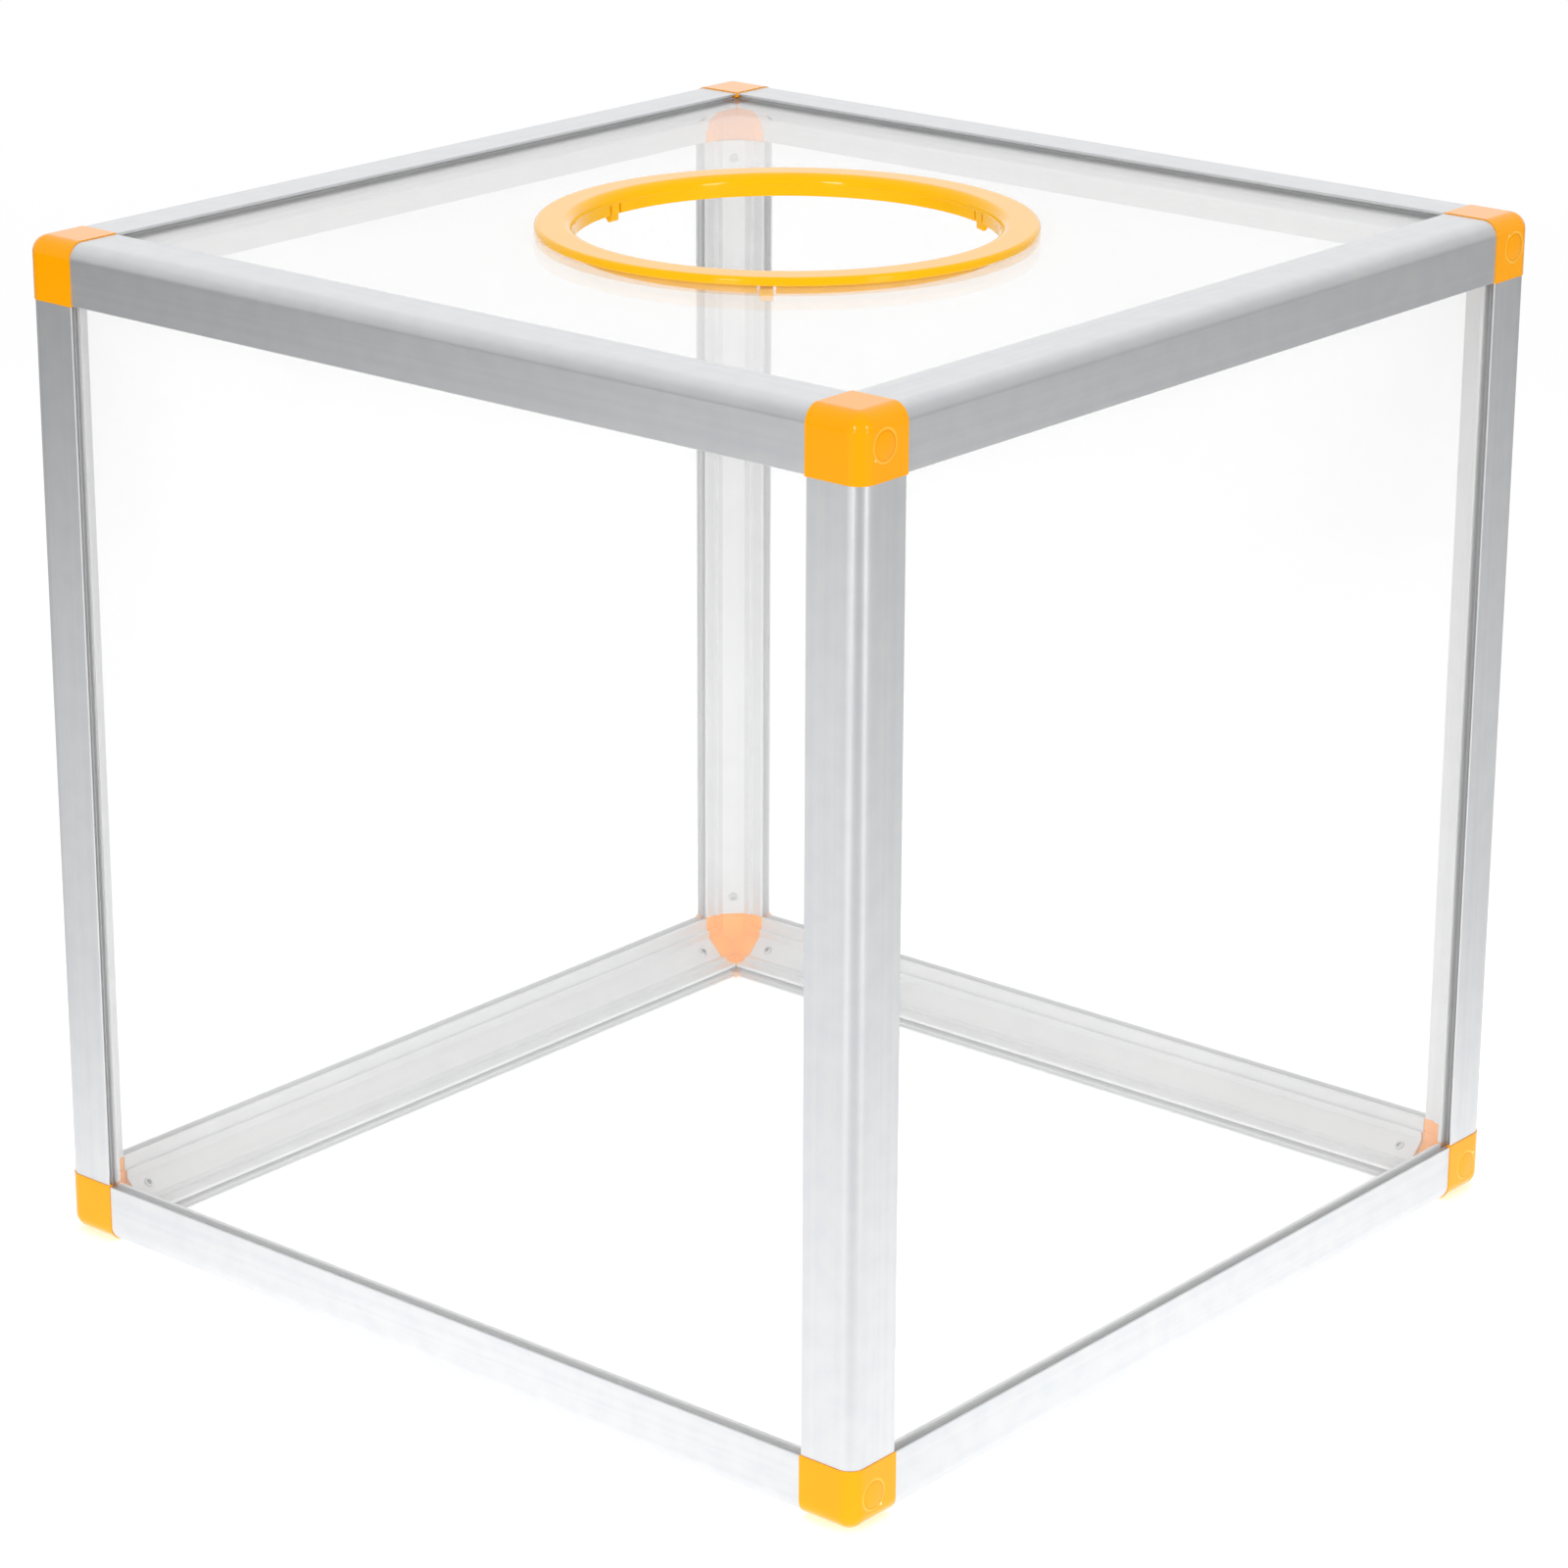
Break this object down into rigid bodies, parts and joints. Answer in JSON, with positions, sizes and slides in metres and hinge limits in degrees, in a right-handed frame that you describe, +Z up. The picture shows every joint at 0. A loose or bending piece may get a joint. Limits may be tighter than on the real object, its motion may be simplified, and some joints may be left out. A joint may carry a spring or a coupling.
{
  "type": "raffle box",
  "caption": "Clear cube-shaped drawing box in a slotted aluminium frame with moulded corner connectors and a round ringed hand hole in its top.",
  "frame": {"origin": "centre of the base, on the surface that the box stands on", "axes": "+Z up, through the hand hole; +Y from the front to the back; +X to the right"},
  "size_m": [0.3, 0.3, 0.3008],
  "materials": {
    "corner_plastic": "glossy orange-yellow moulded plastic",
    "ring_plastic": "glossy orange-yellow moulded plastic",
    "aluminium": "satin anodised extrusion with fine lines along its length",
    "clear_acrylic": "clear polished acrylic sheet",
    "screw_steel": "plain steel set screw with a hexagon socket"
  },
  "bodies": {
    "root": {"connector_bottom_front_left": "corner_plastic", "connector_bottom_front_right": "corner_plastic", "connector_bottom_back_left": "corner_plastic", "connector_bottom_back_right": "corner_plastic", "connector_top_front_left": "corner_plastic", "connector_top_front_right": "corner_plastic", "connector_top_back_left": "corner_plastic", "connector_top_back_right": "corner_plastic", "post_front_left": "aluminium", "post_front_right": "aluminium", "post_back_left": "aluminium", "post_back_right": "aluminium", "rail_bottom_front": "aluminium", "rail_bottom_back": "aluminium", "rail_bottom_left": "aluminium", "rail_bottom_right": "aluminium", "rail_top_front": "aluminium", "rail_top_back": "aluminium", "rail_top_left": "aluminium", "rail_top_right": "aluminium", "panel_front": "clear_acrylic", "panel_back": "clear_acrylic", "panel_left": "clear_acrylic", "panel_right": "clear_acrylic", "panel_bottom": "clear_acrylic", "panel_top": "clear_acrylic", "mouth_ring": "ring_plastic", "screw_post_front_left_bottom": "screw_steel", "screw_post_front_left_top": "screw_steel", "screw_post_front_right_bottom": "screw_steel", "screw_post_front_right_top": "screw_steel", "screw_post_back_left_bottom": "screw_steel", "screw_post_back_left_top": "screw_steel", "screw_post_back_right_bottom": "screw_steel", "screw_post_back_right_top": "screw_steel", "screw_rail_bottom_front_left": "screw_steel", "screw_rail_bottom_front_right": "screw_steel", "screw_rail_bottom_back_left": "screw_steel", "screw_rail_bottom_back_right": "screw_steel", "screw_rail_bottom_left_front": "screw_steel", "screw_rail_bottom_left_back": "screw_steel", "screw_rail_bottom_right_front": "screw_steel", "screw_rail_bottom_right_back": "screw_steel", "screw_rail_top_front_left": "screw_steel", "screw_rail_top_front_right": "screw_steel", "screw_rail_top_back_left": "screw_steel", "screw_rail_top_back_right": "screw_steel", "screw_rail_top_left_front": "screw_steel", "screw_rail_top_left_back": "screw_steel", "screw_rail_top_right_front": "screw_steel", "screw_rail_top_right_back": "screw_steel"}
  },
  "joints": []
}
